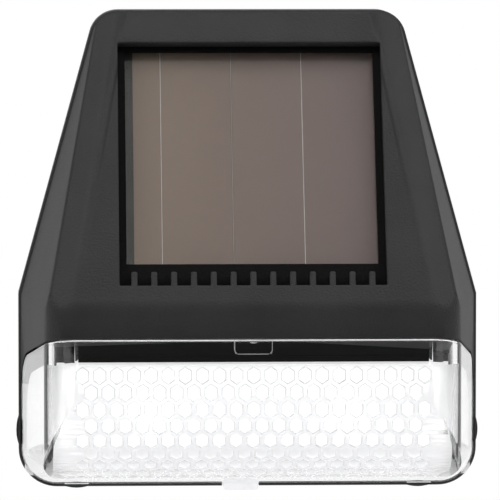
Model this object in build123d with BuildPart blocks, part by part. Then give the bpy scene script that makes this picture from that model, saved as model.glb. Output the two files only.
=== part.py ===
"""Solar wall light: a wedge-shaped moulded housing with a sloped solar panel over a clear prismatic lens.

The frame has +Z up and the wall at y = 0, with the light on its -Y side. The origin lies on the wall,
midway between the two keyholes. Sizes are in millimetres, and angles are in degrees.
"""

import os
from math import atan, cos, pi, radians, sin, sqrt, tan

from build123d import *

os.makedirs("parts", exist_ok=True)

# Outer form. Heights are above the lowest edge of the skirt, depths are forward of the wall.
body_width = 95.0
body_height = 98.7
top_width = 62.7
bend_height = 40.0
top_corner = 6.0
bottom_corner = 8.0
skirt_depth = 9.0
rim_step = 0.5
rim_break = 0.35
draft = 10.0
top_depth = 12.0
slope_angle = 27.0
nose_share = 0.405
shoulder_width = 4.6
shoulder_drop = 2.2
shoulder_radius = 4.5
nose_radius = 5.0
nose_corner = 7.0
wall = 2.0
side_wall = 2.6
hang_drop = 17.0

# Lens and what holds it in the housing.
lens_share = 0.3395
lens_wall = 1.8
lens_edge = 0.5
parting_fall = 11.0
parting_corner = 9.0
parting_gap = 0.2
roll_radius = 19.0
prism_pitch = 3.45
prism_row_pitch = 3.45
prism_gap = 0.35
prism_rise = 0.5
prism_draft = 30.0
prism_rows = 11
prism_start = 7.6
prism_margin = 4.6
latch_width = 7.5
latch_height = 3.2
latch_reach = 3.0
latch_thickness = 1.5
tongue_length = 5.0
tongue_thickness = 1.4
tongue_reach = 4.2
tongue_inset = 0.9
side_tongue_height = 11.5
bottom_tongue_x = 35.5
tab_x = -1.5
tab_width = 7.3
tab_proud = 0.7
tab_thickness = 2.4
tab_corner = 0.8
seat_gap = 0.2
pad_length = 8.4
pad_proud = 0.5
pad_depth = 5.0
pad_start = 2.0

# Reflector tray behind the lens.
reflector_gap = 0.9
reflector_wall = 1.2
reflector_drop = 3.7
mouth_depth = 34.0
mouth_bevel = 0.8

# Solar window, its comb and the panel behind it.
window_width = 54.0
window_margin = 6.7
window_foot = 4.6
window_corner = 0.3
comb_ribs = 13
comb_pitch = 4.0
comb_width = 1.2
comb_length = 3.0
comb_corner = 0.35
panel_lap = 1.0
gasket_thickness = 1.0
sight_width = 51.0
sight_margin = 1.0
sight_foot = 5.5
glass_thickness = 2.0
cell_lines = 3
cell_pitch = 14.5
cell_shift = -3.7
cell_gap = 0.25
cell_edge = 1.0
bare_edge = 1.5
cell_thickness = 0.2

# Back cover, its screws and the keyholes.
cover_thickness = 2.0
cover_gap = 0.25
post_depth = 3.2
post_radius = 3.4
boss_radius = 3.0
cover_screw_inset = 7.4
upper_screw_drop = 27.0
lower_screw_rise = 22.0
keyhole_spacing = 44.0
keyhole_radius = 4.0
keyhole_slot = 4.2
keyhole_rise = 6.0
pocket_wall = 1.2
pocket_gap = 0.3
pocket_depth = 4.5

# Screws: each kind has a head and a plain shank, and sits in a pilot hole.
cover_shank_radius = 1.3
cover_shank_length = 5.0
cover_head_radius = 2.4
cover_head_height = 1.4
small_shank_radius = 0.95
small_shank_length = 3.6
small_head_radius = 1.8
small_head_height = 1.1
head_gap = 0.3
thread_gap = 0.05
head_break = 0.4
recess_share = 1.3
recess_width = 0.7
recess_depth = 0.6

# Battery, its bay in the back cover, and the door.
cell_radius = 7.1
cell_length = 49.2
can_rim = 0.5
nub_radius = 2.7
nub_length = 1.3
bay_room = 1.0
bay_gap = 0.4
bay_wall = 1.4
spring_room = 5.0
door_thickness = 2.0
door_overlap = 1.5
door_gap = 0.3
door_corner = 1.5
door_post_radius = 2.8
door_ledge = 1.2
contact_thickness = 0.4
contact_width = 11.0
contact_tab = 3.0
contact_tab_length = 2.0
spring_wire = 0.8
spring_wide_radius = 4.2
spring_narrow_radius = 2.6
spring_turns = 3

# Circuit board and what it carries.
board_width = 36.0
board_height = 14.0
board_thickness = 1.2
board_drop = 30.0
board_post_height = 6.0
board_post_radius = 2.4
board_screw_x = 14.8
switch_length = 8.6
switch_width = 4.4
switch_height = 4.6
knob_length = 2.2
knob_width = 1.8
knob_travel = 2.0
knob_recess = 0.4
knob_gap = 0.25
knob_foot = 1.6
slot_recess = 0.8
slot_margin = 1.6
chip_width = 4.0
chip_thickness = 1.6
chip_height = 3.0
chip_x = 7.5
chip_stand = 1.0
chip_legs_count = 4
chip_pitch = 1.0
leg_width = 0.45
coil_radius = 1.6
coil_length = 8.0
coil_x = -7.0
coil_lead = 1.6

# LEDs and their board.
led_x = 20.0
led_height = 14.5
led_radius = 2.5
led_flange_radius = 2.9
led_flange = 1.0
led_length = 8.6
led_gap = 0.2
led_board_width = 52.0
led_board_height = 9.0
led_standoff = 1.2
led_screw_x = 10.0
pin_spacing = 2.54
pin_tail = 1.0

# Insulated leads.
lead_radius = 0.6
lead_bend = 3.0
lead_seat = 0.05
lead_stand = 4.6
lead_clearance = 3.0
lead_climb = 6.0
board_lead_run = 8.0
panel_lead_x = 2.2
panel_lead_split = 1.1
led_lead_x = 2.0
battery_lead_x = 10.0

# Levels and depths that follow from the sizes above.
base = hang_drop - body_height
top = base + body_height
cap_top = top - rim_step
bend = base + bend_height
nose = base + body_height * nose_share
lens_top = base + body_height * lens_share
slope = radians(slope_angle)
lean = (body_width - top_width) / 2 / (body_height - bend_height)
nose_depth = top_depth + (cap_top - nose) * tan(slope)
slope_length = (cap_top - nose) / cos(slope)
cavity_inset = rim_step + side_wall
reach = body_width + body_height
rim_half = body_width / 2 - rim_step
nose_half = rim_half - (nose_depth - skirt_depth) * tan(radians(draft))
window_height = slope_length - window_margin - window_foot
window_middle = -window_margin - window_height / 2
panel_width = window_width + 2 * panel_lap
panel_height = window_height + 2 * panel_lap
sight_height = window_height - sight_margin - sight_foot
screw_seat = cover_head_height + head_gap
board_back = cover_thickness + board_post_height
board_front = board_back + board_thickness
board_z = top - board_drop
led_z = base + led_height
led_board_front = skirt_depth - wall - led_standoff
led_board_back = led_board_front - board_thickness
bay_length = 2 * contact_thickness + spring_room + cell_length + nub_length
bay_opening = 2 * (cell_radius + bay_gap)
cell_depth = door_thickness + bay_gap + cell_radius
bay_floor = cell_depth + cell_radius + bay_gap
door_screw_x = bay_length / 2 + bay_wall + door_post_radius
door_length = 2 * (door_screw_x + door_post_radius)
door_height = bay_opening + 2 * door_overlap
door_seat = small_head_height + head_gap
bay_front = bay_floor + bay_wall
bay_z = board_z - board_height / 2 - bay_room - door_height / 2 - door_gap - bay_wall
knob_slot_length = knob_length + knob_travel + 2 * knob_gap
knob_slot_width = knob_width + 2 * knob_gap
board_spots = [(side * board_screw_x, board_z) for side in (-1, 1)]
led_screw_spots = [(side * led_screw_x, led_z) for side in (-1, 1)]
led_spots = [(side * led_x, led_z) for side in (-1, 1)]
door_spots = [(side * door_screw_x, bay_z) for side in (-1, 1)]
keyhole_spots = [(side * keyhole_spacing / 2, 0) for side in (-1, 1)]


def half_width(z):
    """Half the body's width at the wall, at height z."""
    return body_width / 2 - max(0.0, z - bend) * lean


def at(x, depth, z):
    """A point given by its depth forward of the wall."""
    return (x, -depth, z)


cover_screw_levels = (top - upper_screw_drop, base + lower_screw_rise)
cover_spots = [
    (side * (half_width(z) - cover_screw_inset), z) for side in (-1, 1) for z in cover_screw_levels
]

# The sloped face: origin at its top edge, y up the slope and z outwards.
sloped = Plane(at(0, top_depth, cap_top), x_dir=(1, 0, 0), z_dir=(0, -cos(slope), sin(slope)))


def body_outline(inset):
    """The body's front outline with its rounded corners, drawn in by inset."""
    with BuildSketch() as outline:
        with BuildLine():
            Polyline(
                (-body_width / 2, base),
                (body_width / 2, base),
                (body_width / 2, bend),
                (top_width / 2, top),
                (-top_width / 2, top),
                (-body_width / 2, bend),
                close=True,
            )
        make_face()
        fillet(outline.vertices().group_by(Axis.Y)[0], bottom_corner)
        fillet(outline.vertices().group_by(Axis.Y)[-1], top_corner)
        if inset:
            offset(amount=-inset, kind=Kind.INTERSECTION)
    return outline.sketch


def side_outline(inset):
    """The outline that the drafted sides grow from: its leaning sides run on past the top."""
    peak = top + top_width / 2
    with BuildSketch() as outline:
        with BuildLine():
            Polyline(
                (-body_width / 2, base),
                (body_width / 2, base),
                (body_width / 2, bend),
                (half_width(peak), peak),
                (-half_width(peak), peak),
                (-body_width / 2, bend),
                close=True,
            )
        make_face()
        fillet(outline.vertices().group_by(Axis.Y)[0], bottom_corner)
        offset(amount=-inset, kind=Kind.INTERSECTION)
    return outline.sketch


def front_profile(side_inset, front_inset):
    """The side view of top, sloped face, nose and the roll into the lens's rising underside."""
    roll_overlap = 0.05
    front = nose_depth - front_inset
    slope_shift = front_inset / cos(slope)
    crown = cap_top - side_inset
    crown_depth = top_depth - slope_shift + side_inset * tan(slope)
    nose_level = nose - slope_shift / tan(slope) + front_inset / tan(slope)
    under = base + rim_step + side_inset / cos(radians(draft)) - roll_overlap
    under_front = under + (front - skirt_depth) * tan(radians(draft))
    under_wall = under - skirt_depth * tan(radians(draft))
    with BuildSketch() as profile:
        with BuildLine():
            Polyline(
                (0, crown),
                (-crown_depth, crown),
                (-front, nose_level),
                (-front, under_front),
                (0, under_wall),
                close=True,
            )
        make_face()
        corner = profile.vertices().sort_by_distance((-front, under_front))[0]
        fillet(corner, roll_radius - front_inset)
    return profile.sketch


def wedge_form(side_inset, front_inset):
    """Housing and lens as one drafted wedge in front of the skirt, drawn in by the insets."""
    with BuildPart() as form:
        with BuildSketch(Plane.XZ.offset(skirt_depth)):
            add(side_outline(rim_step + side_inset))
        extrude(amount=nose_depth, taper=draft)
        with BuildSketch(Plane.YZ):
            add(front_profile(side_inset, front_inset))
        extrude(amount=reach, both=True, mode=Mode.INTERSECT)
        with BuildSketch(Plane.XZ):
            add(body_outline(rim_step + side_inset))
        extrude(amount=reach, mode=Mode.INTERSECT)
    return form.part


def nose_plan(inset):
    """The top view of the drafted sides and the nose, with its rounded corners, drawn in by inset."""
    wall_half = rim_half + skirt_depth * tan(radians(draft))
    with BuildSketch() as plan:
        with BuildLine():
            Polyline(
                (-wall_half, 0),
                (-nose_half, -nose_depth),
                (nose_half, -nose_depth),
                (wall_half, 0),
                close=True,
            )
        make_face()
        fillet(plan.vertices().group_by(Axis.Y)[0], nose_corner)
        if inset:
            offset(amount=-inset, kind=Kind.INTERSECTION)
    return plan.sketch


def crowned_form(inset):
    """The wedge with rounded nose corners, and its slope's side edges planed back to a shoulder."""
    front = sloped.offset(-inset)
    inner_half = nose_half - inset + inset * tan(radians(draft))
    top_inset = rim_step + inset + (top_depth - skirt_depth) * tan(radians(draft))
    top_half = half_width(cap_top) - top_inset / cos(atan(lean))
    widening = (inner_half - top_half) / slope_length
    with BuildPart() as form:
        add(wedge_form(inset, inset))
        with BuildSketch(Plane.XY):
            add(nose_plan(inset))
        extrude(amount=reach, both=True, mode=Mode.INTERSECT)
        for side in (-1, 1):
            slope_edge = front.from_local_coords((side * (top_half - shoulder_width), 0, 0))
            across = (front.x_dir * side + front.y_dir * widening).normalized()
            split(
                bisect_by=Plane(slope_edge, z_dir=across * shoulder_drop + front.z_dir * shoulder_width),
                keep=Keep.BOTTOM,
            )
    return form.part


def lens_zone(grow):
    """The side view of the room that the lens takes below the nose and in front of the skirt."""
    fall = tan(radians(parting_fall))
    back_level = lens_top - (nose_depth - skirt_depth) * fall
    with BuildSketch() as zone:
        with BuildLine():
            Polyline(
                (-skirt_depth, base - reach),
                (-skirt_depth, back_level),
                (-skirt_depth - reach, back_level + reach * fall),
                (-skirt_depth - reach, base - reach),
                close=True,
            )
        make_face()
        corner = zone.vertices().sort_by_distance((-skirt_depth, back_level))[0]
        fillet(corner, parting_corner)
        if grow:
            offset(amount=grow, kind=Kind.INTERSECTION)
    return zone.sketch


# The outer form of housing and lens together, with its nose and shoulders softened.
with BuildPart() as outer_form:
    add(crowned_form(0))
    sloped_face = outer_form.faces().filter_by(sloped).sort_by(SortBy.AREA)[-1]
    fillet(sloped_face.edges().sort_by(Axis.Z)[0], nose_radius)
    sloped_face = outer_form.faces().filter_by(sloped).sort_by(SortBy.AREA)[-1]
    shoulders = sloped_face.edges().filter_by(GeomType.LINE).sort_by(Axis.X)
    fillet([shoulders[0], shoulders[-1]], shoulder_radius)


def hollow(form, share):
    """The room inside the housing: this form and the skirt, less this share of each wall's thickness."""
    with BuildPart() as room:
        with BuildSketch(Plane.XZ):
            add(body_outline(rim_step + share * side_wall))
        extrude(amount=skirt_depth)
        add(form)
        with BuildSketch(Plane.YZ):
            add(lens_zone(share * wall))
        extrude(amount=reach, both=True, mode=Mode.SUBTRACT)
    return room.part


def catch_pads():
    """Outlines of the low swellings on the skirt over the lens's tongues."""
    chord = pad_length / 2
    sunk = side_wall / 4
    with BuildSketch() as pads:
        for side in (-1, 1):
            x = side * bottom_tongue_x
            with BuildLine():
                ThreePointArc((x - chord, base + sunk), (x, base - pad_proud), (x + chord, base + sunk))
                Line((x + chord, base + sunk), (x - chord, base + sunk))
            make_face()
            edge = side * body_width / 2
            z = base + side_tongue_height
            inner = edge - side * sunk
            with BuildLine():
                ThreePointArc((inner, z - chord), (edge + side * pad_proud, z), (inner, z + chord))
                Line((inner, z + chord), (inner, z - chord))
            make_face()
    return pads.sketch


def tongues(grow):
    """Outlines of the four tongues that the lens pushes into the skirt, or of their slots."""
    thick = tongue_thickness + 2 * grow
    long = tongue_length + 2 * grow
    with BuildSketch() as outlines:
        for side in (-1, 1):
            with Locations((side * (rim_half - tongue_inset), base + side_tongue_height)):
                Rectangle(thick, long)
            with Locations((side * bottom_tongue_x, base + rim_step + tongue_inset)):
                Rectangle(long, thick)
    return outlines.sketch


# Latch behind the nose and tab under the lower edge: the lens has both, the housing their slots.
latch_front = nose_depth - wall - seat_gap
latch_middle = latch_front - latch_thickness / 2
tab_middle = base - tab_proud + tab_thickness / 2

# Bosses for the cover's screws and standoffs for the LED board, each ending inside a wall.
with BuildPart() as bosses:
    with BuildSketch(Plane.XZ.offset(post_depth)):
        with Locations(*cover_spots):
            Circle(boss_radius)
    extrude(amount=nose_depth)
    with BuildSketch(Plane.XZ.offset(led_board_front)):
        with Locations(*led_screw_spots):
            Circle(board_post_radius)
    extrude(amount=led_standoff + wall)
    add(hollow(crowned_form(wall / 2), 0.5), mode=Mode.INTERSECT)

# Front housing: skirt, drafted wedge, solar window with its comb, and the seats of the lens.
with BuildPart() as front_housing:
    with BuildSketch(Plane.XZ):
        add(body_outline(0))
    extrude(amount=skirt_depth)
    chamfer(front_housing.faces().sort_by(Axis.Y)[0].edges(), rim_break)
    add(outer_form.part)
    with BuildSketch(Plane.YZ):
        add(lens_zone(0))
    extrude(amount=reach, both=True, mode=Mode.SUBTRACT)
    add(hollow(wedge_form(side_wall, wall), 1), mode=Mode.SUBTRACT)
    add(bosses.part)
    with BuildSketch(Plane.XZ.offset(pad_start)):
        add(catch_pads())
    extrude(amount=pad_depth)
    with BuildSketch(Plane.XZ.offset(post_depth)):
        with Locations(*cover_spots):
            Circle(cover_shank_radius + thread_gap)
    extrude(amount=screw_seat + cover_shank_length + head_gap - post_depth, mode=Mode.SUBTRACT)
    with BuildSketch(Plane.XZ.offset(led_board_front)):
        with Locations(*led_screw_spots):
            Circle(small_shank_radius + thread_gap)
    extrude(amount=small_shank_length - board_thickness + head_gap, mode=Mode.SUBTRACT)
    with BuildSketch(Plane.XZ.offset(skirt_depth)):
        with Locations(*led_spots):
            Circle(led_flange_radius + led_gap)
    extrude(amount=-2 * wall, mode=Mode.SUBTRACT)
    with BuildSketch(sloped):
        with Locations((0, window_middle)):
            RectangleRounded(window_width, window_height, window_corner)
        with Locations((0, window_middle - window_height / 2)):
            with GridLocations(comb_pitch, 1, comb_ribs, 1):
                RectangleRounded(comb_width, 2 * comb_length, comb_corner, mode=Mode.SUBTRACT)
    extrude(amount=-2 * wall, mode=Mode.SUBTRACT)
    with BuildSketch(Plane.XZ.offset(skirt_depth)):
        add(tongues(seat_gap))
        with Locations((tab_x, tab_middle)):
            RectangleRounded(tab_width + 2 * seat_gap, tab_thickness + 2 * seat_gap, tab_corner + seat_gap)
    extrude(amount=-tongue_reach - seat_gap, mode=Mode.SUBTRACT)
    with BuildSketch(Plane.XY.offset(lens_top - wall)):
        with Locations((0, -latch_middle)):
            Rectangle(latch_width + 2 * seat_gap, latch_thickness + seat_gap)
    extrude(amount=3 * wall, mode=Mode.SUBTRACT)
front_housing.part.label = "front_housing"
export_step(front_housing.part, "parts/front_housing.step")

# The roll of the lens: rows of prisms follow its inner face down the front, round the roll and back.
roll_depth = nose_depth - roll_radius
roll_level = (
    base + rim_step + (roll_depth - skirt_depth) * tan(radians(draft)) + roll_radius / cos(radians(draft))
)
inner_roll = roll_radius - lens_wall
prism_columns = int(2 * (nose_half - prism_margin) / prism_pitch)


def prism_plane(row):
    """The plane of a row of prisms, facing into the lens and sunk by half a rise into its wall."""
    along = row * prism_row_pitch - (lens_top - prism_start - roll_level)
    turn = min(max(along / inner_roll, 0.0), radians(90 - draft))
    straight = along - turn * inner_roll
    sunk_roll = inner_roll + prism_rise / 2
    depth = roll_depth + sunk_roll * cos(turn) - straight * sin(turn)
    level = roll_level - sunk_roll * sin(turn) - straight * cos(turn)
    return Plane(at(0, depth, level), x_dir=(1, 0, 0), z_dir=(0, cos(turn), sin(turn)))


# Lens: clear shell flush with the housing, with rows of hexagonal prisms on its inner face.
with BuildPart() as lens:
    add(outer_form.part)
    with BuildSketch(Plane.YZ):
        add(lens_zone(-parting_gap))
    extrude(amount=reach, both=True, mode=Mode.INTERSECT)
    parting = lens.faces().filter_by(lambda face: face.normal_at().Z > 0.5).edges()
    parting_rim = parting.filter_by(Axis.X, reverse=True) + parting.filter_by(Axis.X).sort_by(Axis.Y)[:1]
    fillet(parting_rim, lens_edge)
    add(crowned_form(lens_wall), mode=Mode.SUBTRACT)
    with BuildSketch(Plane.XZ.offset(skirt_depth - tongue_reach)):
        add(tongues(0))
    extrude(amount=tongue_reach + lens_wall)
    with BuildSketch(Plane.XZ.offset(skirt_depth - tongue_reach)):
        with Locations((tab_x, tab_middle)):
            RectangleRounded(tab_width, tab_thickness, tab_corner)
    extrude(amount=tongue_reach + lens_wall)
    with BuildSketch(Plane.XY.offset(lens_top - latch_height)):
        with Locations((0, -latch_middle)):
            Rectangle(latch_width, latch_thickness)
    extrude(amount=latch_height + wall + latch_reach)
    with BuildSketch(Plane.XY.offset(lens_top - latch_height)):
        with Locations((0, -(latch_middle + nose_depth - lens_wall / 2) / 2)):
            Rectangle(latch_width, nose_depth - lens_wall / 2 - latch_middle)
    extrude(amount=latch_height - 2 * parting_gap)
    prisms = []
    for row in range(prism_rows):
        half = (prism_pitch - prism_gap) / 2
        shoulder = prism_row_pitch / 3 - prism_gap / 4
        tip = prism_row_pitch * 2 / 3 - prism_gap / 2
        with BuildSketch(prism_plane(row), mode=Mode.PRIVATE) as row_outlines:
            with GridLocations(prism_pitch, 1, prism_columns - row % 2, 1):
                Polygon(
                    (half, -shoulder),
                    (half, shoulder),
                    (0, tip),
                    (-half, shoulder),
                    (-half, -shoulder),
                    (0, -tip),
                )
        row_prisms = extrude(row_outlines.sketch, prism_rise * 3 / 2, taper=prism_draft, mode=Mode.PRIVATE)
        prisms += row_prisms.solids()
    add(prisms)
lens.part.label = "lens"
export_step(lens.part, "parts/lens.step")


def tray_form(inset):
    """The reflector's form inside the lens, drawn in by inset: its top falls back below the parting."""
    room = lens_wall + reflector_gap + inset
    with BuildPart() as form:
        add(wedge_form(room, room))
        with BuildSketch(Plane.YZ):
            with Locations((0, -reflector_drop)):
                add(lens_zone(-parting_gap - inset))
            with Locations((0, base)):
                Rectangle(2 * mouth_depth, 2 * reach, mode=Mode.INTERSECT)
        extrude(amount=reach, both=True, mode=Mode.INTERSECT)
    return form.part


# Reflector: open tray whose coved floor lies on the skirt and whose walls follow the lens.
with BuildPart() as reflector:
    add(tray_form(0))
    add(tray_form(reflector_wall), mode=Mode.SUBTRACT)
    with BuildSketch(Plane.XZ.offset(skirt_depth)):
        with Locations(*led_spots):
            Circle(led_radius + led_gap)
    extrude(amount=led_length, mode=Mode.SUBTRACT)
    mouth = reflector.faces().sort_by(Axis.Y)[0]
    chamfer(mouth.inner_wires()[0].edges().filter_by(Axis.X), mouth_bevel)
reflector.part.label = "reflector"
export_step(reflector.part, "parts/reflector.step")

# Solar panel: black foam ring on the housing, glass plate on it, and the cell strips behind the glass.
with BuildPart() as panel_gasket:
    with BuildSketch(sloped.offset(-wall)):
        with Locations((0, window_middle)):
            Rectangle(panel_width, panel_height)
        with Locations((0, -window_margin - sight_margin - sight_height / 2)):
            Rectangle(sight_width, sight_height, mode=Mode.SUBTRACT)
    extrude(amount=-gasket_thickness)
panel_gasket.part.label = "panel_gasket"
export_step(panel_gasket.part, "parts/panel_gasket.step")

with BuildPart() as solar_glass:
    with BuildSketch(sloped.offset(-wall - gasket_thickness)):
        with Locations((0, window_middle)):
            Rectangle(panel_width, panel_height)
    extrude(amount=-glass_thickness)
solar_glass.part.label = "solar_glass"
export_step(solar_glass.part, "parts/solar_glass.step")

cell_left = bare_edge - sight_width / 2
cell_right = panel_width / 2 - cell_edge
cell_bounds = [cell_left]
cell_bounds += [cell_shift + (line - (cell_lines - 1) / 2) * cell_pitch for line in range(cell_lines)]
cell_bounds += [cell_right]
with BuildPart() as solar_cells:
    with BuildSketch(sloped.offset(-wall - gasket_thickness - glass_thickness)):
        for left, right in zip(cell_bounds, cell_bounds[1:]):
            with Locations(((left + right) / 2, window_middle)):
                Rectangle(right - left - cell_gap, panel_height - 2 * cell_edge)
    extrude(amount=-cell_thickness)
solar_cells.part.label = "solar_cells"
export_step(solar_cells.part, "parts/solar_cells.step")


def keyhole(grow):
    """A keyhole with its round hole at the origin and its slot upwards."""
    with BuildSketch() as hole:
        Circle(keyhole_radius + grow)
        with Locations((0, keyhole_rise / 2)):
            Rectangle(keyhole_slot + 2 * grow, keyhole_rise)
        with Locations((0, keyhole_rise)):
            Circle(keyhole_slot / 2 + grow)
    return hole.sketch


def head_room(grow):
    """The room behind a keyhole that the screw's head slides up in."""
    radius = keyhole_radius + pocket_gap + grow
    with BuildSketch() as room:
        with Locations((0, keyhole_rise / 2)):
            SlotCenterToCenter(keyhole_rise, 2 * radius, rotation=90)
    return room.sketch


# Back cover: flat plate in the skirt, with pockets, bay, posts and the door's seat moulded on.
with BuildPart() as back_cover:
    with BuildSketch(Plane.XZ):
        add(body_outline(cavity_inset + cover_gap))
    extrude(amount=cover_thickness)
    with BuildSketch(Plane.XZ):
        with Locations(*cover_spots):
            Circle(post_radius)
    extrude(amount=post_depth)
    with BuildSketch(Plane.XZ):
        with Locations(*keyhole_spots):
            add(head_room(pocket_wall))
    extrude(amount=cover_thickness + pocket_depth + pocket_wall)
    with BuildSketch(Plane.XZ):
        with Locations((0, bay_z)):
            Rectangle(bay_length + 2 * bay_wall, bay_opening + 2 * bay_wall)
    extrude(amount=bay_front)
    with BuildSketch(Plane.XZ):
        with Locations((0, bay_z)):
            RectangleRounded(
                door_length + 2 * (door_gap + bay_wall),
                door_height + 2 * (door_gap + bay_wall),
                door_corner + door_gap + bay_wall,
            )
    extrude(amount=door_thickness + door_ledge)
    with BuildSketch(Plane.XZ):
        with Locations(*door_spots):
            Circle(door_post_radius)
    extrude(amount=door_seat + small_shank_length + 2 * head_gap)
    with BuildSketch(Plane.XZ):
        with Locations(*board_spots):
            Circle(board_post_radius)
    extrude(amount=board_back)
    with BuildSketch(Plane.XZ):
        add(body_outline(cavity_inset + cover_gap))
    extrude(amount=reach, mode=Mode.INTERSECT)
    with BuildSketch(Plane.XZ):
        with Locations(*cover_spots):
            Circle(cover_head_radius + head_gap)
    extrude(amount=screw_seat, mode=Mode.SUBTRACT)
    with BuildSketch(Plane.XZ):
        with Locations(*cover_spots):
            Circle(cover_shank_radius + head_gap)
    extrude(amount=post_depth, mode=Mode.SUBTRACT)
    with BuildSketch(Plane.XZ):
        with Locations(*keyhole_spots):
            add(keyhole(0))
    extrude(amount=cover_thickness, mode=Mode.SUBTRACT)
    with BuildSketch(Plane.XZ.offset(cover_thickness)):
        with Locations(*keyhole_spots):
            add(head_room(0))
    extrude(amount=pocket_depth, mode=Mode.SUBTRACT)
    with BuildSketch(Plane.XZ):
        with Locations((0, bay_z)):
            RectangleRounded(door_length + 2 * door_gap, door_height + 2 * door_gap, door_corner + door_gap)
    extrude(amount=door_thickness, mode=Mode.SUBTRACT)
    with BuildSketch(Plane.XZ):
        with Locations((0, bay_z)):
            Rectangle(bay_length, bay_opening)
    extrude(amount=bay_floor, mode=Mode.SUBTRACT)
    with BuildSketch(Plane.XZ.offset(bay_floor)):
        for side in (-1, 1):
            with Locations((side * (bay_length - contact_thickness) / 2, bay_z)):
                Rectangle(contact_thickness + 2 * seat_gap, contact_tab + 2 * seat_gap)
    extrude(amount=bay_wall, mode=Mode.SUBTRACT)
    with BuildSketch(Plane.XZ.offset(door_thickness)):
        with Locations(*door_spots):
            Circle(small_shank_radius + thread_gap)
    extrude(amount=door_seat + small_shank_length + head_gap - door_thickness, mode=Mode.SUBTRACT)
    with BuildSketch(Plane.XZ.offset(board_back)):
        with Locations(*board_spots):
            Circle(small_shank_radius + thread_gap)
    extrude(amount=board_thickness - small_shank_length - head_gap, mode=Mode.SUBTRACT)
    with BuildSketch(Plane.XZ):
        with Locations((0, board_z)):
            RectangleRounded(
                knob_slot_length + 2 * slot_margin, knob_slot_width + 2 * slot_margin, slot_margin
            )
    extrude(amount=slot_recess, mode=Mode.SUBTRACT)
    with BuildSketch(Plane.XZ):
        with Locations((0, board_z)):
            Rectangle(knob_slot_length, knob_slot_width)
    extrude(amount=cover_thickness, mode=Mode.SUBTRACT)
back_cover.part.label = "back_cover"
export_step(back_cover.part, "parts/back_cover.step")

# Battery door: flush lid over the bay, with a sunk hole for each of its screws.
with BuildPart() as battery_door:
    with BuildSketch(Plane.XZ):
        with Locations((0, bay_z)):
            RectangleRounded(door_length, door_height, door_corner)
    extrude(amount=door_thickness)
    with BuildSketch(Plane.XZ):
        with Locations(*door_spots):
            Circle(small_head_radius + head_gap)
    extrude(amount=door_seat, mode=Mode.SUBTRACT)
    with BuildSketch(Plane.XZ):
        with Locations(*door_spots):
            Circle(small_shank_radius + head_gap)
    extrude(amount=door_thickness, mode=Mode.SUBTRACT)
battery_door.part.label = "battery_door"
export_step(battery_door.part, "parts/battery_door.step")


def screw(plane, head_radius, head_height, shank_radius, shank_length):
    """A pan-head screw: its head stands on the plane, and its shank goes down behind it."""
    with BuildPart() as form:
        with BuildSketch(plane):
            Circle(head_radius)
        extrude(amount=head_height)
        chamfer(form.faces().sort_by(Axis(plane.origin, plane.z_dir))[-1].edges(), head_break)
        with BuildSketch(plane):
            Circle(shank_radius)
        extrude(amount=-shank_length)
        with BuildSketch(plane.offset(head_height)):
            Rectangle(recess_share * head_radius, recess_width)
            Rectangle(recess_width, recess_share * head_radius)
        extrude(amount=-recess_depth, mode=Mode.SUBTRACT)
    return form.part


def facing_wall(x, depth, z):
    """A plane that faces the wall at this point."""
    return Plane(at(x, depth, z), x_dir=(-1, 0, 0), z_dir=(0, 1, 0))


def facing_front(x, depth, z):
    """A plane that faces forward at this point."""
    return Plane(at(x, depth, z), x_dir=(1, 0, 0), z_dir=(0, -1, 0))


def facing_side(x, depth, z):
    """A plane that faces +X at this point."""
    return Plane(at(x, depth, z), x_dir=(0, 1, 0), z_dir=(1, 0, 0))


cover_screw = (cover_head_radius, cover_head_height, cover_shank_radius, cover_shank_length)
small_screw = (small_head_radius, small_head_height, small_shank_radius, small_shank_length)

with BuildPart() as cover_screws:
    for x, z in cover_spots:
        add(screw(facing_wall(x, screw_seat, z), *cover_screw))
cover_screws.part.label = "cover_screws"
export_step(cover_screws.part, "parts/cover_screws.step")

with BuildPart() as door_screws:
    for x, z in door_spots:
        add(screw(facing_wall(x, door_seat, z), *small_screw))
door_screws.part.label = "door_screws"
export_step(door_screws.part, "parts/door_screws.step")

with BuildPart() as board_screws:
    for x, z in board_spots:
        add(screw(facing_front(x, board_front, z), *small_screw))
    for x, z in led_screw_spots:
        add(screw(facing_wall(x, led_board_back, z), *small_screw))
board_screws.part.label = "board_screws"
export_step(board_screws.part, "parts/board_screws.step")

# Battery: a wrapped can with its crimped rim, and the steel nub of its plus end.
can_start = -bay_length / 2 + contact_thickness + spring_room
can_end = can_start + cell_length
with BuildPart() as battery_can:
    with BuildSketch(facing_side(can_start, cell_depth, bay_z)):
        Circle(cell_radius)
    extrude(amount=cell_length)
    chamfer(battery_can.edges().filter_by(GeomType.CIRCLE), can_rim)
battery_can.part.label = "battery_can"
export_step(battery_can.part, "parts/battery_can.step")

with BuildPart() as battery_terminal:
    with BuildSketch(facing_side(can_end, cell_depth, bay_z)):
        Circle(nub_radius)
    extrude(amount=nub_length)
battery_terminal.part.label = "battery_terminal"
export_step(battery_terminal.part, "parts/battery_terminal.step")


def contact(x):
    """A square contact plate from x inwards, with a tab through the bay's floor."""
    tab_end = bay_front + contact_tab_length
    with BuildPart() as plate:
        with BuildSketch(Plane.YZ.offset(x)):
            with Locations((-cell_depth, bay_z)):
                Rectangle(contact_width, contact_width)
            with Locations((-(cell_depth + tab_end) / 2, bay_z)):
                Rectangle(tab_end - cell_depth, contact_tab)
        extrude(amount=contact_thickness)
    return plate.part


with BuildPart() as spring_plate:
    add(contact(-bay_length / 2))
spring_plate.part.label = "spring_plate"
export_step(spring_plate.part, "parts/spring_plate.step")

with BuildPart() as contact_plate:
    add(contact(bay_length / 2 - contact_thickness))
contact_plate.part.label = "contact_plate"
export_step(contact_plate.part, "parts/contact_plate.step")


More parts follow.
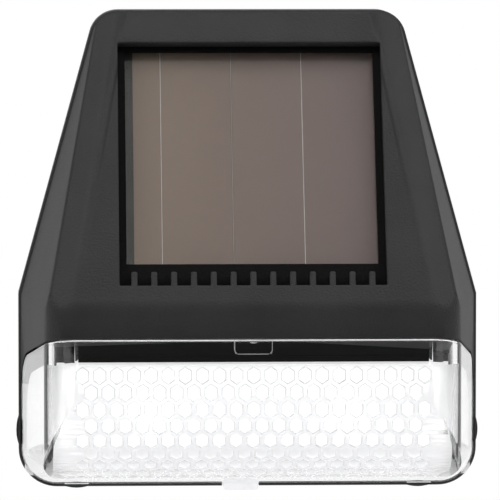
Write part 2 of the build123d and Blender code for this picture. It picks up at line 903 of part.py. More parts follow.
def coil_point(turns):
    """A point on the spring's centre line, this many turns from its wide end on the plate."""
    share = turns / spring_turns
    radius = spring_wide_radius + (spring_narrow_radius - spring_wide_radius) * share
    start = -bay_length / 2 + contact_thickness + spring_wire / 2
    x = start + (spring_room - spring_wire) * share
    return Vector(x, -cell_depth + radius * cos(2 * pi * turns), bay_z + radius * sin(2 * pi * turns))


def coil_heading(turns):
    """The direction of the spring's wire at coil_point."""
    step = 0.001
    return (coil_point(turns + step) - coil_point(turns - step)).normalized()


# Battery spring: a cone of round wire, each quarter turn two arcs that meet without a kink.
with BuildPart() as contact_spring:
    with BuildLine() as wire:
        for quarter in range(4 * spring_turns):
            start, end = coil_point(quarter / 4), coil_point((quarter + 1) / 4)
            leave, arrive = coil_heading(quarter / 4), coil_heading((quarter + 1) / 4)
            chord, both = end - start, leave + arrive
            bend_share = 2 * (1 - leave.dot(arrive))
            pull = (sqrt(chord.dot(both) ** 2 + bend_share * chord.dot(chord)) - chord.dot(both)) / bend_share
            middle = (start + leave * pull + end - arrive * pull) / 2
            across = (end - arrive * pull - start - leave * pull).normalized()
            TangentArc(start, middle, tangent=leave)
            TangentArc(middle, end, tangent=across)
    with BuildSketch(Plane(origin=coil_point(0), z_dir=coil_heading(0))):
        Circle(spring_wire / 2)
    sweep()
contact_spring.part.label = "contact_spring"
export_step(contact_spring.part, "parts/contact_spring.step")
turn_gap = (coil_point(1) - coil_point(0)).length - spring_wire
print("contact spring, gap between turns", round(turn_gap, 2), "mm")

# Main board on the cover's posts, with the switch on its back and the driver on its front.
with BuildPart() as circuit_board:
    with BuildSketch(Plane.XZ.offset(board_back)):
        with Locations((0, board_z)):
            Rectangle(board_width, board_height)
        with Locations(*board_spots):
            Circle(small_shank_radius + head_gap, mode=Mode.SUBTRACT)
    extrude(amount=board_thickness)
circuit_board.part.label = "circuit_board"
export_step(circuit_board.part, "parts/circuit_board.step")

switch_back = board_back - switch_height
with BuildPart() as switch_body:
    with BuildSketch(Plane.XZ.offset(switch_back)):
        with Locations((0, board_z)):
            Rectangle(switch_length, switch_width)
    extrude(amount=switch_height)
    with BuildSketch(Plane.XZ.offset(switch_back)):
        with Locations((0, board_z)):
            Rectangle(knob_slot_length, knob_slot_width)
    extrude(amount=knob_foot, mode=Mode.SUBTRACT)
switch_body.part.label = "switch_body"
export_step(switch_body.part, "parts/switch_body.step")

with BuildPart() as switch_knob:
    with BuildSketch(Plane.XZ.offset(knob_recess)):
        with Locations((-knob_travel / 2, board_z)):
            Rectangle(knob_length, knob_width)
    extrude(amount=switch_back + knob_foot - knob_gap - knob_recess)
switch_knob.part.label = "switch_knob"
export_step(switch_knob.part, "parts/switch_knob.step")

chip_z = board_z + board_height / 4
chip_back = board_front + chip_stand
with BuildPart() as driver_chip:
    with BuildSketch(Plane.XZ.offset(chip_back)):
        with Locations((chip_x, chip_z)):
            Rectangle(chip_width, chip_thickness)
    extrude(amount=chip_height)
driver_chip.part.label = "driver_chip"
export_step(driver_chip.part, "parts/driver_chip.step")

with BuildPart() as chip_legs:
    with BuildSketch(Plane.XZ.offset(board_front)):
        with Locations((chip_x, chip_z)):
            with GridLocations(chip_pitch, 1, chip_legs_count, 1):
                Rectangle(leg_width, leg_width)
    extrude(amount=chip_stand)
chip_legs.part.label = "chip_legs"
export_step(chip_legs.part, "parts/chip_legs.step")

coil_depth = board_front + coil_radius
with BuildPart() as inductor:
    with BuildSketch(facing_side(coil_x - coil_length / 2, coil_depth, chip_z)):
        Circle(coil_radius)
    extrude(amount=coil_length)
    chamfer(inductor.edges().filter_by(GeomType.CIRCLE), coil_radius / 2)
inductor.part.label = "inductor"
export_step(inductor.part, "parts/inductor.step")

with BuildPart() as inductor_legs:
    for side in (-1, 1):
        end = coil_x + side * coil_length / 2
        foot = end + side * coil_lead
        with BuildLine():
            leg = FilletPolyline(
                at(end, coil_depth, chip_z),
                at(foot, coil_depth, chip_z),
                at(foot, board_front, chip_z),
                radius=coil_lead / 2,
            )
        with BuildSketch(Plane(origin=leg @ 0, z_dir=leg % 0)):
            Circle(leg_width / 2)
        sweep(path=leg)
inductor_legs.part.label = "inductor_legs"
export_step(inductor_legs.part, "parts/inductor_legs.step")

# LED board behind the skirt's front wall, with two lamps that reach through into the reflector.
with BuildPart() as led_board:
    with BuildSketch(Plane.XZ.offset(led_board_back)):
        with Locations((0, led_z)):
            Rectangle(led_board_width, led_board_height)
        with Locations(*led_screw_spots):
            Circle(small_shank_radius + head_gap, mode=Mode.SUBTRACT)
        with Locations(*led_spots):
            with GridLocations(pin_spacing, 1, 2, 1):
                Circle(leg_width / 2 + thread_gap, mode=Mode.SUBTRACT)
    extrude(amount=board_thickness)
led_board.part.label = "led_board"
export_step(led_board.part, "parts/led_board.step")

with BuildPart() as led_lamps:
    with BuildSketch(Plane.XZ.offset(led_board_front)):
        with Locations(*led_spots):
            Circle(led_flange_radius)
    extrude(amount=led_flange)
    with BuildSketch(Plane.XZ.offset(led_board_front)):
        with Locations(*led_spots):
            Circle(led_radius)
    extrude(amount=led_length - led_radius)
    for x, z in led_spots:
        with Locations(at(x, led_board_front + led_length - led_radius, z)):
            Sphere(led_radius)
led_lamps.part.label = "led_lamps"
export_step(led_lamps.part, "parts/led_lamps.step")

with BuildPart() as led_pins:
    with BuildSketch(Plane.XZ.offset(led_board_back - pin_tail)):
        with Locations(*led_spots):
            with GridLocations(pin_spacing, 1, 2, 1):
                Circle(leg_width / 2)
    extrude(amount=pin_tail + board_thickness)
led_pins.part.label = "led_pins"
export_step(led_pins.part, "parts/led_pins.step")


def lead(*points):
    """An insulated lead: straight runs joined by tangent arcs."""
    with BuildPart() as form:
        with BuildLine():
            route = FilletPolyline(*points, radius=lead_bend)
        with BuildSketch(Plane(origin=route @ 0, z_dir=route % 0)):
            Circle(lead_radius)
        sweep(path=route)
    return form.part


# Leads: each pair runs from its solder points to the front of the main board.
lead_end = board_front + lead_seat
panel_stack = wall + gasket_thickness + glass_thickness + cell_thickness + lead_seat
panel_back = sloped.offset(-panel_stack)
panel_row = board_z + board_height / 8
panel_solder = (cap_top - panel_row - (panel_stack + lead_stand) * sin(slope)) / cos(slope)
tab_tip = bay_front + contact_tab_length + lead_seat
tab_plate_x = (bay_length - contact_thickness) / 2
low_row = board_z - board_height / 4
led_lead_start = led_z + led_board_height / 2 + lead_seat
led_lead_depth = led_board_back + board_thickness / 2
ledge = lens_top - (nose_depth - skirt_depth) * tan(radians(parting_fall)) + wall
bay_pass = bay_front + lead_clearance
for colour, side in (("red", 1), ("black", -1)):
    panel_x = panel_lead_x + side * panel_lead_split
    with BuildPart() as panel_lead:
        add(
            lead(
                panel_back.from_local_coords((panel_x, -panel_solder, 0)),
                panel_back.from_local_coords((panel_x, -panel_solder, -lead_stand)),
                at(panel_x, lead_end, panel_row),
            )
        )
    panel_lead.part.label = f"panel_lead_{colour}"
    export_step(panel_lead.part, f"parts/panel_lead_{colour}.step")

    led_x_end = side * led_lead_x
    with BuildPart() as led_lead:
        add(
            lead(
                at(led_x_end, led_lead_depth, led_lead_start),
                at(led_x_end, led_lead_depth, ledge),
                at(led_x_end, bay_pass, ledge + lead_climb),
                at(led_x_end, bay_pass, low_row),
                at(led_x_end, lead_end, low_row),
            )
        )
    led_lead.part.label = f"led_lead_{colour}"
    export_step(led_lead.part, f"parts/led_lead_{colour}.step")

    tab_end_x = side * tab_plate_x
    with BuildPart() as battery_lead:
        add(
            lead(
                at(tab_end_x, tab_tip, bay_z),
                at(tab_end_x, tab_tip + lead_stand, bay_z),
                at(side * battery_lead_x, board_front + board_lead_run, low_row),
                at(side * battery_lead_x, lead_end, low_row),
            )
        )
    battery_lead.part.label = f"battery_lead_{colour}"
    export_step(battery_lead.part, f"parts/battery_lead_{colour}.step")
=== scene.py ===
from math import cos, pi, radians, sin

import bmesh
import bpy
from mathutils import Matrix, Vector


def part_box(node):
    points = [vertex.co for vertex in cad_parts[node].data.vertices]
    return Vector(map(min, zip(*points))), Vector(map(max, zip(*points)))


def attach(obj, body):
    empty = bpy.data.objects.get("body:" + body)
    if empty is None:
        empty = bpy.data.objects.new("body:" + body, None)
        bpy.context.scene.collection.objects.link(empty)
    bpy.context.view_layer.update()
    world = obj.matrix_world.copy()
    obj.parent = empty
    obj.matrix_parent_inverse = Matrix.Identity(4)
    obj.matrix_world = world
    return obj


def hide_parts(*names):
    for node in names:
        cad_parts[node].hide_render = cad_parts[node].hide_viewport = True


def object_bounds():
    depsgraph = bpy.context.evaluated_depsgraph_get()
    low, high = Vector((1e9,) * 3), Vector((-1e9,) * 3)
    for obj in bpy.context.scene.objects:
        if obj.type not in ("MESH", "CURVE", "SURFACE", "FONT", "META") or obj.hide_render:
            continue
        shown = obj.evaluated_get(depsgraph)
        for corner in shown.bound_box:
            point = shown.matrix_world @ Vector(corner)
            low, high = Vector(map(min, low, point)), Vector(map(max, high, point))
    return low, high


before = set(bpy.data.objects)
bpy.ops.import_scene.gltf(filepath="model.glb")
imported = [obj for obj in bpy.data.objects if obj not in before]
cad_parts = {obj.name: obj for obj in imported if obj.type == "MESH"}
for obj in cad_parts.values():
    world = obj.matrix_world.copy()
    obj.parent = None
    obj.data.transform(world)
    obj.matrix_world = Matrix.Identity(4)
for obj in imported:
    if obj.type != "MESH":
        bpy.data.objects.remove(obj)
cad_box = [list(corner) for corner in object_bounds()]
MM = 0.001

# Front housing: one injection moulding in dark grey plastic, with a fine spark-eroded texture.
# Its window, comb, skirt and rim step are moulded in, and its edges are softly broken.
# Behind the lens, the skirt's wall is coloured white as painted light from the lamps, and the roof above the
# tray dull black as painted shade.
weld_gap = 0.001 * MM
flat_angle = radians(0.1)


def joined_copy(node, name, smooth_angle):
    """A copy of a node's mesh with its triangles joined, smooth below this angle, its flats kept flat."""
    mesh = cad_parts[node].data.copy()
    mesh.name = name
    work = bmesh.new()
    work.from_mesh(mesh)
    bmesh.ops.remove_doubles(work, verts=work.verts, dist=weld_gap)
    bmesh.ops.dissolve_limit(work, angle_limit=flat_angle, verts=work.verts, edges=work.edges)
    work.to_mesh(mesh)
    work.free()
    mesh.shade_smooth()
    mesh.set_sharp_from_angle(angle=radians(smooth_angle))
    mesh.materials.clear()
    piece = bpy.data.objects.new(name, mesh)
    bpy.context.scene.collection.objects.link(piece)
    flats = piece.modifiers.new("flats", "WEIGHTED_NORMAL")
    flats.weight = 100
    flats.keep_sharp = True
    graph = bpy.context.evaluated_depsgraph_get()
    piece.data = bpy.data.meshes.new_from_object(piece.evaluated_get(graph), depsgraph=graph)
    piece.data.name = name
    piece.modifiers.remove(flats)
    return piece


def blank_material(name):
    """A new material, its node tree and its Principled shader."""
    material = bpy.data.materials.new(name)
    material.use_nodes = True
    return material, material.node_tree, material.node_tree.nodes["Principled BSDF"]


def noise(tree, scale, detail, stretch=(1.0, 1.0, 1.0)):
    """Noise in object space, with scale in cells per metre, stretched along an axis where asked."""
    place = tree.nodes.new("ShaderNodeTexCoord")
    mapping = tree.nodes.new("ShaderNodeMapping")
    mapping.inputs["Scale"].default_value = stretch
    texture = tree.nodes.new("ShaderNodeTexNoise")
    texture.inputs["Scale"].default_value = scale
    texture.inputs["Detail"].default_value = detail
    tree.links.new(place.outputs["Object"], mapping.inputs["Vector"])
    tree.links.new(mapping.outputs["Vector"], texture.inputs["Vector"])
    return texture.outputs["Fac"]


def ramp(tree, value, low, high, start=0.3, end=0.7):
    """A colour between low and high as value goes from start to end."""
    node = tree.nodes.new("ShaderNodeValToRGB")
    node.color_ramp.elements[0].position = start
    node.color_ramp.elements[0].color = (*low, 1.0)
    node.color_ramp.elements[1].position = end
    node.color_ramp.elements[1].color = (*high, 1.0)
    tree.links.new(value, node.inputs["Fac"])
    return node.outputs["Color"]


def spread(tree, value, low, high):
    """A number between low and high as value goes from 0 to 1."""
    node = tree.nodes.new("ShaderNodeMapRange")
    node.inputs["To Min"].default_value = low
    node.inputs["To Max"].default_value = high
    tree.links.new(value, node.inputs["Value"])
    return node.outputs["Result"]


def mottled(name, scale, detail, dark, light, roughness, stretch=(1.0, 1.0, 1.0)):
    """A material between two colours, with one roughness or two, its tree, its shader and its mottling."""
    material, tree, shader = blank_material(name)
    mottle = noise(tree, scale, detail, stretch)
    tree.links.new(ramp(tree, mottle, dark, light), shader.inputs["Base Color"])
    if isinstance(roughness, tuple):
        tree.links.new(spread(tree, mottle, *roughness), shader.inputs["Roughness"])
    else:
        shader.inputs["Roughness"].default_value = roughness
    return material, tree, shader, mottle


def along(tree, axis, start, end):
    """A number from 0 to 1 between two places along an axis of object space."""
    place = tree.nodes.new("ShaderNodeTexCoord")
    axes = tree.nodes.new("ShaderNodeSeparateXYZ")
    node = tree.nodes.new("ShaderNodeMapRange")
    node.inputs["From Min"].default_value = start
    node.inputs["From Max"].default_value = end
    tree.links.new(place.outputs["Object"], axes.inputs["Vector"])
    tree.links.new(axes.outputs[axis], node.inputs["Value"])
    return node.outputs["Result"]


def combined(tree, operation, first, *others):
    """Values joined by one operation, such as their product or the largest of them."""
    for other in others:
        node = tree.nodes.new("ShaderNodeMath")
        node.operation = operation
        tree.links.new(first, node.inputs[0])
        tree.links.new(other, node.inputs[1])
        first = node.outputs["Value"]
    return first


def bump(tree, height, distance, strength, edge=0.0):
    """A bumped normal, over edges that are rounded by edge."""
    node = tree.nodes.new("ShaderNodeBump")
    node.inputs["Strength"].default_value = strength
    node.inputs["Distance"].default_value = distance
    tree.links.new(height, node.inputs["Height"])
    if edge:
        rounded = tree.nodes.new("ShaderNodeBevel")
        rounded.samples = 6
        rounded.inputs["Radius"].default_value = edge
        tree.links.new(rounded.outputs["Normal"], node.inputs["Normal"])
    return node.outputs["Normal"]


def moulded_plastic(name, dark, light, roughness, grain, grain_depth, edge=0.0, sheen=0.5):
    """Matte moulded plastic: faint mottling, an even spark-eroded grain and softened edges."""
    material, tree, shader, _ = mottled(name, 90.0, 3.0, dark, light, roughness)
    texture = noise(tree, grain, 2.0)
    tree.links.new(bump(tree, texture, grain_depth, 0.5, edge), shader.inputs["Normal"])
    shader.inputs["Specular IOR Level"].default_value = sheen
    return material


def corners_of(piece, face):
    """The corners of one of a piece's faces."""
    return [piece.data.vertices[index].co for index in face.vertices]


def finish_piece(piece, material, body, slot, *nodes):
    """Gives a piece its material and its body, and hides the nodes that it stands for; its slot is not used.
    """
    if material:
        piece.data.materials.append(material)
    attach(piece, body)
    if nodes:
        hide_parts(*nodes)


housing_plastic = moulded_plastic(
    "housing_plastic",
    dark=(0.022, 0.022, 0.0223),
    light=(0.028, 0.028, 0.0283),
    roughness=(0.5, 0.6),
    grain=2600.0,
    grain_depth=0.3 * MM,
    edge=0.7 * MM,
    sheen=0.2,
)
tray_low, tray_high = (Vector(corner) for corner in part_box("reflector"))
# Painted light: a shader mask makes the skirt's wall white behind the lens, where the lamps' light fills it.
painted_light_side = 2.0 * MM
painted_light_below = 0.9 * MM
painted_light_depth = 0.6 * MM
painted_light_blur = 0.05 * MM
painted_light_white = (0.85, 0.85, 0.85, 1.0)
housing_tree = housing_plastic.node_tree
painted_light_edges = (
    ("X", tray_low.x - painted_light_side, painted_light_blur),
    ("X", tray_high.x + painted_light_side, -painted_light_blur),
    ("Z", tray_low.z - painted_light_below, painted_light_blur),
    ("Z", tray_high.z, -painted_light_blur),
    ("Y", tray_high.y, painted_light_blur),
    ("Y", tray_high.y + painted_light_depth, -painted_light_blur),
)
insides = [along(housing_tree, axis, edge, edge + inward) for axis, edge, inward in painted_light_edges]
painted = combined(housing_tree, "MULTIPLY", *insides)
painted_light_mix = housing_tree.nodes.new("ShaderNodeMix")
painted_light_mix.data_type = "RGBA"
painted_light_mix.inputs["B"].default_value = painted_light_white
housing_colour = housing_tree.nodes["Principled BSDF"].inputs["Base Color"]
housing_tree.links.new(painted, painted_light_mix.inputs["Factor"])
housing_tree.links.new(housing_colour.links[0].from_socket, painted_light_mix.inputs["A"])
housing_tree.links.new(painted_light_mix.outputs["Result"], housing_colour)
housing = joined_copy("front_housing", "housing_shell", 32)
finish_piece(housing, housing_plastic, "light", "housing_grey", "front_housing")
# Painted shade: the down-facing faces under the nose's roof get a dull black with no gloss, standing in for
# the shade inside it.
roof_painted_shade = moulded_plastic(
    "roof_painted_shade",
    dark=(0.011, 0.011, 0.011),
    light=(0.015, 0.015, 0.015),
    roughness=(0.7, 0.8),
    grain=2600.0,
    grain_depth=0.06 * MM,
    sheen=0.0,
)
housing.data.materials.append(roof_painted_shade)
nose_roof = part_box("lens")[1][2]
nose_front = -39.0 * MM
facing_down = -0.25
for face in housing.data.polygons:
    if face.normal.z < facing_down and all(
        nose_front < corner.y < tray_high.y and corner.z < nose_roof for corner in corners_of(housing, face)
    ):
        face.material_index = 1

# Panel gasket: a die-cut ring of black closed-cell foam with fine open pores.
# It is glued round the window from behind and shows as the black border of the panel.
gasket_foam, foam_tree, foam_shader, pores = mottled(
    "gasket_foam", 2200.0, 4.0, (0.001, 0.001, 0.001), (0.004, 0.004, 0.004), 0.9
)
foam_tree.links.new(bump(foam_tree, pores, 0.1 * MM, 0.8), foam_shader.inputs["Normal"])
foam_shader.inputs["Specular IOR Level"].default_value = 0.15
gasket = joined_copy("panel_gasket", "gasket_ring", 30)
finish_piece(gasket, gasket_foam, "light", "gasket_black", "panel_gasket")

# Panel glass: a float-glass plate with ground edges, glued to the gasket from behind.
# Its faces are fire-polished, so only the faintest waviness shows in its reflections.
panel_glass, glass_tree, glass_shader = blank_material("panel_glass")
glass_shader.inputs["Base Color"].default_value = (0.95, 0.96, 0.955, 1.0)
glass_shader.inputs["Transmission Weight"].default_value = 1.0
glass_shader.inputs["IOR"].default_value = 1.4
waviness = noise(glass_tree, 150.0, 2.0)
glass_tree.links.new(spread(glass_tree, waviness, 0.0, 0.004), glass_shader.inputs["Roughness"])
plate = joined_copy("solar_glass", "panel_plate", 30)
finish_piece(plate, panel_glass, "light", "panel_glass", "solar_glass")

# Solar cells: strips of brown thin film on the back of the glass, with a faint cloudiness.
# The film is drawn a hair behind the glass, as the two would share a face otherwise.
slope = radians(27.0)
panel_normal = Vector((0.0, -cos(slope), sin(slope)))
film_gap = 0.1 * MM
cell_film, film_tree, film_shader = blank_material("cell_film")
cell_low, cell_high = (Vector(corner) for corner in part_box("solar_cells"))
across = along(film_tree, "X", cell_low.x, cell_high.x)
film_brown = ramp(film_tree, across, (0.228, 0.172, 0.137), (0.175, 0.13, 0.121), 0.1, 0.9)
film_tree.links.new(film_brown, film_shader.inputs["Base Color"])
clouds = noise(film_tree, 45.0, 2.0)
film_tree.links.new(spread(film_tree, clouds, 0.4, 0.5), film_shader.inputs["Roughness"])
film_shader.inputs["Specular IOR Level"].default_value = 0.1
cells = joined_copy("solar_cells", "cell_strips", 30)
cells.data.transform(Matrix.Translation(-panel_normal * film_gap))
finish_piece(cells, cell_film, "light", "cell_brown", "solar_cells")

# Scribe lines: the laser-cut lanes between the strips, silvery where the back contact shows.
# The lanes are cut in one pass on the coated sheet, and the middle one is the faintest.


def solids_of(node):
    """The lowest and highest corner of each separate solid in a node, from left to right."""
    work = bmesh.new()
    work.from_mesh(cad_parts[node].data)
    bmesh.ops.remove_doubles(work, verts=work.verts, dist=weld_gap)
    waiting = set(work.verts)
    boxes = []
    while waiting:
        solid = set()
        edge = {waiting.pop()}
        while edge:
            solid |= edge
            edge = {other for vert in edge for link in vert.link_edges for other in link.verts} - solid
        waiting -= solid
        places = [vert.co for vert in solid]
        low = Vector([min(place[axis] for place in places) for axis in range(3)])
        high = Vector([max(place[axis] for place in places) for axis in range(3)])
        boxes.append((low, high))
    work.free()
    return sorted(boxes, key=lambda box: (round(box[0].x, 5), box[0].z))


def nodes_tree(name, *sizes):
    """A Geometry Nodes tree with points in, named sizes and a mesh out, and its two ends."""
    tree = bpy.data.node_groups.new(name, "GeometryNodeTree")
    tree.interface.new_socket("Geometry", in_out="INPUT", socket_type="NodeSocketGeometry")
    for size in sizes:
        tree.interface.new_socket(size, in_out="INPUT", socket_type="NodeSocketFloat")
    tree.interface.new_socket("Geometry", in_out="OUTPUT", socket_type="NodeSocketGeometry")
    return tree, tree.nodes.new("NodeGroupInput"), tree.nodes.new("NodeGroupOutput")


def step(tree, kind, **inputs):
    """A node of this kind, each of its inputs set to a value or linked to another node's output."""
    node = tree.nodes.new(kind)
    for name, value in inputs.items():
        socket = node.inputs[name.replace("_", " ")]
        if isinstance(value, bpy.types.NodeSocket):
            tree.links.new(value, socket)
        else:
            socket.default_value = value
    return node


def close_tree(tree, end, geometry, material):
    """Ends a tree in Realize Instances and Set Material."""
    solid = step(tree, "GeometryNodeRealizeInstances", Geometry=geometry)
    coated = step(tree, "GeometryNodeSetMaterial", Geometry=solid.outputs["Geometry"])
    coated.inputs["Material"].default_value = material
    tree.links.new(coated.outputs["Geometry"], end.inputs["Geometry"])


def baked(name, tree, spots, smooth_angle, facing=(), **sizes):
    """A plain mesh piece: the tree run on these spots, with its named sizes set."""
    mesh = bpy.data.meshes.new(name)
    mesh.from_pydata([tuple(spot) for spot in spots], [], [])
    if facing:
        mesh.attributes.new("facing", "FLOAT", "POINT").data.foreach_set("value", facing)
    piece = bpy.data.objects.new(name, mesh)
    bpy.context.scene.collection.objects.link(piece)
    modifier = piece.modifiers.new(name, "NODES")
    modifier.node_group = tree
    for socket in tree.interface.items_tree:
        if socket.in_out == "INPUT" and socket.name in sizes:
            modifier[socket.identifier] = sizes[socket.name]
    graph = bpy.context.evaluated_depsgraph_get()
    plain = bpy.data.meshes.new_from_object(piece.evaluated_get(graph), depsgraph=graph)
    piece.modifiers.remove(modifier)
    plain.name = name
    plain.shade_smooth()
    plain.set_sharp_from_angle(angle=radians(smooth_angle))
    piece.data = plain
    return piece


def lane_tree(material):
    """Thin bars along the slope, one on each point."""
    tree, start, end = nodes_tree("scribe_lanes", "Width", "Length", "Depth")
    size = step(
        tree,
        "ShaderNodeCombineXYZ",
        X=start.outputs["Width"],
        Y=start.outputs["Depth"],
        Z=start.outputs["Length"],
    )
    bar = step(tree, "GeometryNodeMeshCube", Size=size.outputs["Vector"])
    bars = step(
        tree,
        "GeometryNodeInstanceOnPoints",
        Points=start.outputs["Geometry"],
        Instance=bar.outputs["Mesh"],
        Rotation=(-slope, 0.0, 0.0),
    )
    close_tree(tree, end, bars.outputs["Instances"], material)
    return tree


lane_metal = mottled("lane_metal", 400.0, 2.0, (0.4, 0.37, 0.34), (0.5, 0.47, 0.44), 0.45)[0]
cell_boxes = solids_of("solar_cells")
strip_middle = (cell_low + cell_high) / 2
lane_depth = 0.04 * MM
bright_width = 0.17 * MM
faint_width = 0.08 * MM
lane_length = (cell_high.z - cell_low.z) / cos(slope)
lane_spots = []
for left, right in zip(cell_boxes, cell_boxes[1:]):
    spot = strip_middle.copy()
    spot.x = (left[1].x + right[0].x) / 2
    lane_spots.append(spot)
lanes = lane_tree(lane_metal)
for name, spots, width in (
    ("bright_lanes", lane_spots[::2], bright_width),
    ("faint_lane", lane_spots[1:2], faint_width),
):
    lane = baked(name, lanes, spots, 30, Width=width, Length=lane_length, Depth=lane_depth)
    finish_piece(lane, None, "light", "cell_brown")

# Back paint: one coat of dark olive lacquer over the strips and the bare edge of the glass.
# It seals the film from behind and shows only at the panel's left edge.
back_paint = mottled("back_paint", 250.0, 3.0, (0.03, 0.029, 0.024), (0.04, 0.038, 0.031), 0.6)[0]
coat_depth = 0.05 * MM
coat_gap = 0.5 * MM
coat_margin = 0.3 * MM
glass_low, glass_high = (Vector(corner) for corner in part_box("solar_glass"))
behind_strips = strip_middle - panel_normal * coat_gap
behind_strips.x = (glass_low.x + glass_high.x) / 2
back_coat = baked(
    "back_coat",
    lane_tree(back_paint),
    [behind_strips],
    30,
    Width=glass_high.x - glass_low.x - 2 * coat_margin,
    Length=lane_length,
    Depth=coat_depth,
)
finish_piece(back_coat, None, "light", "cell_brown")

# Reflector: a thin white moulding behind the lens, open to the front, with satin walls.
# Its floor lies on the skirt's front wall, and the two lamps come through holes in it. Its faint glow is
# painted light, for the lamps' light inside it.


def glow(shader, strength, colour=(1.0, 1.0, 1.0, 1.0)):
    """Lets a material give light of this strength and colour."""
    shader.inputs["Emission Color"].default_value = colour
    shader.inputs["Emission Strength"].default_value = strength


reflector_white, _, white_shader, _ = mottled(
    "reflector_white", 120.0, 2.0, (0.87, 0.87, 0.87), (0.91, 0.91, 0.91), (0.3, 0.42)
)
# Painted light: the whole tray glows faintly, though it is no lamp.
glow(white_shader, 0.31)
tray = joined_copy("reflector", "reflector_tray", 32)
finish_piece(tray, reflector_white, "light", "reflector_white", "reflector")

# LED lamps: two 5 mm lamps cast in clear epoxy, lit, so that each dome glows a neutral white.
# They stand in the tray's holes, and their light is strongest on the prisms in front of them.
led_epoxy, _, epoxy_shader, _ = mottled("led_epoxy", 300.0, 2.0, (0.93, 0.93, 0.9), (0.97, 0.97, 0.95), 0.1)
glow(epoxy_shader, 2.0, (1.0, 0.99, 0.97, 1.0))
lamps = joined_copy("led_lamps", "led_domes", 40)
finish_piece(lamps, led_epoxy, "light", "led_clear", "led_lamps")

# Lens: one clear polished moulding, with rows of hexagonal prisms on its inner face.
# It clips in by a latch behind the nose, four tongues in the skirt and a tab below.
# The inner face is etched below a clear strip, and the prisms' walls and the tab are frosted, with a faint
# painted glow for the lamps' light in them.
lens_clear, clear_tree, clear_shader = blank_material("lens_clear")
clear_shader.inputs["Base Color"].default_value = (0.995, 0.997, 1.0, 1.0)
clear_shader.inputs["Transmission Weight"].default_value = 1.0
clear_shader.inputs["IOR"].default_value = 1.49
lens_low, lens_high = (Vector(corner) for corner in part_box("lens"))
clear_strip = 10.6 * MM
etch_blur = 0.1 * MM
prism_top = lens_high.z - clear_strip
etched = clear_tree.nodes.new("ShaderNodeAttribute")
etched.attribute_name = "etched"
below_strip = along(clear_tree, "Z", prism_top, prism_top - etch_blur)
etching = combined(clear_tree, "MULTIPLY", etched.outputs["Fac"], below_strip)
clear_tree.links.new(spread(clear_tree, etching, 0.01, 0.45), clear_shader.inputs["Roughness"])
frost_and_painted_glow, _, frost_glow_shader, _ = mottled("frost_and_painted_glow", 600.0, 2.0, (0.86, 0.86, 0.88), (0.92, 0.92, 0.94), 0.35)
frost_glow_shader.inputs["Transmission Weight"].default_value = 0.2
frost_glow_shader.inputs["IOR"].default_value = 1.49
# Painted light: the frosted tab and prism walls glow faintly, though they are no lamps.
glow(frost_glow_shader, 0.25)
lens = joined_copy("lens", "lens_cover", 12)
facing_in = 0.2
etched_faces = [float(max(face.normal.y, face.normal.z) > facing_in) for face in lens.data.polygons]
lens.data.attributes.new("etched", "FLOAT", "FACE").data.foreach_set("value", etched_faces)
finish_piece(lens, lens_clear, "light", "lens_clear", "lens")
lens.data.materials.append(frost_and_painted_glow)
tab_middle = -1.5 * MM
tab_half = 3.9 * MM
tab_height = 3.2 * MM
tab_back = -13.0 * MM
wall_area = 2.0 * MM * MM
field_half = 38.0 * MM
for face in lens.data.polygons:
    on_tab = all(
        abs(corner.x - tab_middle) < tab_half and corner.z < lens_low.z + tab_height and corner.y > tab_back
        for corner in corners_of(lens, face)
    )
    on_prism = face.area < wall_area and abs(face.center.x) < field_half and face.center.z < prism_top
    if on_tab or on_prism:
        face.material_index = 1

# Latch edges: pale wires on the rounded edges of the lens's latch behind the nose, as a painted highlight for
# their glints.
# The gate's frosted stub is left in the middle of the lens's upper edge, its paleness partly frost and partly
# a painted glint.


def times(tree, value, factor):
    """A size multiplied by a fixed factor."""
    node = step(tree, "ShaderNodeMath", Value=value)
    node.operation = "MULTIPLY"
    node.inputs[1].default_value = factor
    return node.outputs["Value"]


def latch_tree(material):
    """Rounded upright frames of round wire, one on each point, with a flat stub in their upper half."""
    tree, start, end = nodes_tree("latch_edges", "Width", "Height", "Round", "Wire", "Stub")
    outline = step(
        tree,
        "GeometryNodeCurvePrimitiveQuadrilateral",
        Width=start.outputs["Width"],
        Height=start.outputs["Height"],
    )
    rounded = step(
        tree, "GeometryNodeFilletCurve", Curve=outline.outputs["Curve"], Radius=start.outputs["Round"]
    )
    rounded.mode = "POLY"
    rounded.inputs["Count"].default_value = 6
    wire_round = step(tree, "GeometryNodeCurvePrimitiveCircle", Resolution=8, Radius=start.outputs["Wire"])
    frame_wire = step(
        tree,
        "GeometryNodeCurveToMesh",
        Curve=rounded.outputs["Curve"],
        Profile_Curve=wire_round.outputs["Curve"],
    )
    stub = step(tree, "GeometryNodeMeshIcoSphere", Radius=start.outputs["Stub"], Subdivisions=3)
    stub_place = step(tree, "ShaderNodeCombineXYZ", Y=times(tree, start.outputs["Height"], 1 / 3))
    raised = step(
        tree,
        "GeometryNodeTransform",
        Geometry=stub.outputs["Mesh"],
        Translation=stub_place.outputs["Vector"],
        Scale=(1.0, 0.5, 0.4),
    )
    whole = step(tree, "GeometryNodeJoinGeometry")
    tree.links.new(frame_wire.outputs["Mesh"], whole.inputs["Geometry"])
    tree.links.new(raised.outputs["Geometry"], whole.inputs["Geometry"])
    latches = step(
        tree,
        "GeometryNodeInstanceOnPoints",
        Points=start.outputs["Geometry"],
        Instance=whole.outputs["Geometry"],
        Rotation=(pi / 2, 0.0, 0.0),
    )
    close_tree(tree, end, latches.outputs["Instances"], material)
    return tree


